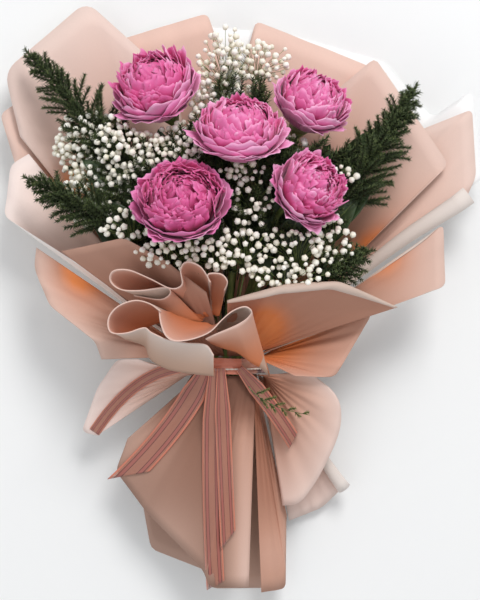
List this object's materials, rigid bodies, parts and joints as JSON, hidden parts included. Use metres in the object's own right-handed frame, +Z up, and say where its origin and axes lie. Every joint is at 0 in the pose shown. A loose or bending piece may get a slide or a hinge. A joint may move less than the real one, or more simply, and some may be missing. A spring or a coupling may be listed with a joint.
{
  "type": "bunch of cut peonies",
  "caption": "Hand-tied bunch of pink peonies with gypsophila and greenery in a peach paper wrap with a pleated ruffle and striped sheer ribbon tails, lying on its back.",
  "frame": {"origin": "middle of the bounding box on the table surface the bunch lies on", "axes": "+Z up from the table to the front of the bunch, +Y from the cut ends to the flower end, +X to the right seen from above with the flowers at the top"},
  "size_m": [0.4984, 0.6112, 0.1979],
  "materials": {
    "paper_white": "matt, almost white",
    "paper_peach": "matt peach",
    "petal_pink": "soft pink petals",
    "stem_green": "fresh green stem",
    "leaf_green": "dark green leaf",
    "gypsophila_white": "small white florets",
    "sprig_green": "dark green needles",
    "ribbon_sheer": "sheer striped ribbon",
    "cord_pale": "pale cord",
    "stem_tape": "stretch tape"
  },
  "bodies": {
    "root": {"paper_back_white": "paper_white", "paper_back_left_inner": "paper_peach", "paper_back_middle": "paper_peach", "paper_back_left": "paper_peach", "paper_back_right": "paper_peach", "paper_side_right": "paper_peach", "paper_side_right_low": "paper_peach", "paper_side_left": "paper_peach", "paper_side_left_low": "paper_peach", "paper_side_left_front": "paper_peach", "paper_collar_left": "paper_peach", "paper_collar_right": "paper_peach", "paper_flap_right": "paper_peach", "paper_skirt_back": "paper_peach", "paper_skirt_front": "paper_peach", "paper_skirt_inner": "paper_peach", "paper_skirt_right": "paper_peach", "paper_skirt_scoop": "paper_peach", "paper_skirt_left": "paper_peach", "ruffle_fan": "paper_peach", "ruffle_sweep": "paper_peach", "ruffle_loop": "paper_peach", "peony_top_left_stem": "stem_green", "peony_top_left_guard_petals": "petal_pink", "peony_top_left_crown": "petal_pink", "peony_top_right_stem": "stem_green", "peony_top_right_guard_petals": "petal_pink", "peony_top_right_crown": "petal_pink", "peony_centre_stem": "stem_green", "peony_centre_guard_petals": "petal_pink", "peony_centre_crown": "petal_pink", "peony_lower_left_stem": "stem_green", "peony_lower_left_guard_petals": "petal_pink", "peony_lower_left_crown": "petal_pink", "peony_lower_right_stem": "stem_green", "peony_lower_right_guard_petals": "petal_pink", "peony_lower_right_crown": "petal_pink", "peony_leaf_left": "leaf_green", "peony_leaf_middle": "leaf_green", "peony_leaf_right": "leaf_green", "sprig_upper_left": "sprig_green", "sprig_right": "sprig_green", "sprig_lower_left": "sprig_green", "sprig_lower_right": "sprig_green", "sprig_stray": "sprig_green", "gypsophila_left": "gypsophila_white", "gypsophila_top": "gypsophila_white", "gypsophila_middle": "gypsophila_white", "gypsophila_lower_left": "gypsophila_white", "gypsophila_lower_right": "gypsophila_white", "stem_tape": "stem_tape", "ribbon_band": "ribbon_sheer", "tie_cord": "cord_pale", "ribbon_tail_far_left": "ribbon_sheer", "ribbon_tail_left": "ribbon_sheer", "ribbon_tail_middle_long": "ribbon_sheer", "ribbon_tail_middle_short": "ribbon_sheer", "ribbon_tail_right": "ribbon_sheer"}
  },
  "joints": []
}
